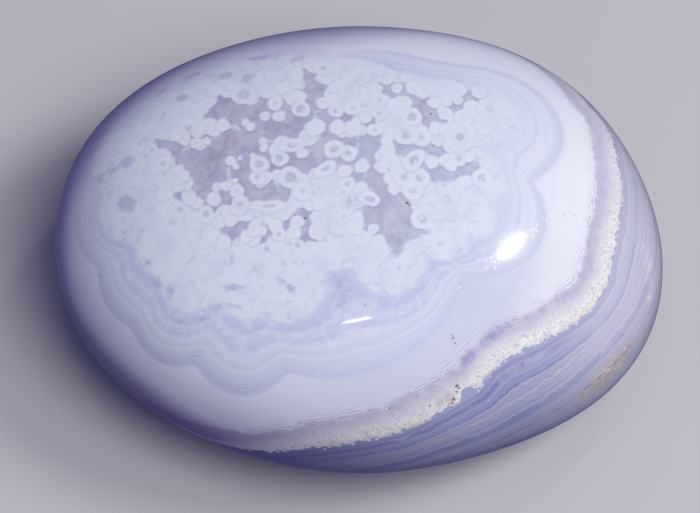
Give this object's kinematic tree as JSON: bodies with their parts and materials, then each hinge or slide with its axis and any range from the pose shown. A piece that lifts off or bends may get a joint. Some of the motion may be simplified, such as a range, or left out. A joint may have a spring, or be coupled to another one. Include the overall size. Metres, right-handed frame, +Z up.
{
  "type": "polished chalcedony pebble",
  "caption": "Tumbled and polished chalcedony pebble, a plump flattened oval with a domed top and a small worn flat to rest on.",
  "frame": {"origin": "below the middle of the stone's bounding box, on the plane it rests on", "axes": "+X along the stone's length, towards its fuller end; +Y across it, away from the side seen in the picture; +Z up through the dome"},
  "size_m": [0.03, 0.0248, 0.0122],
  "materials": {
    "chalcedony": "polished"
  },
  "bodies": {
    "root": {"stone": "chalcedony"}
  },
  "joints": []
}
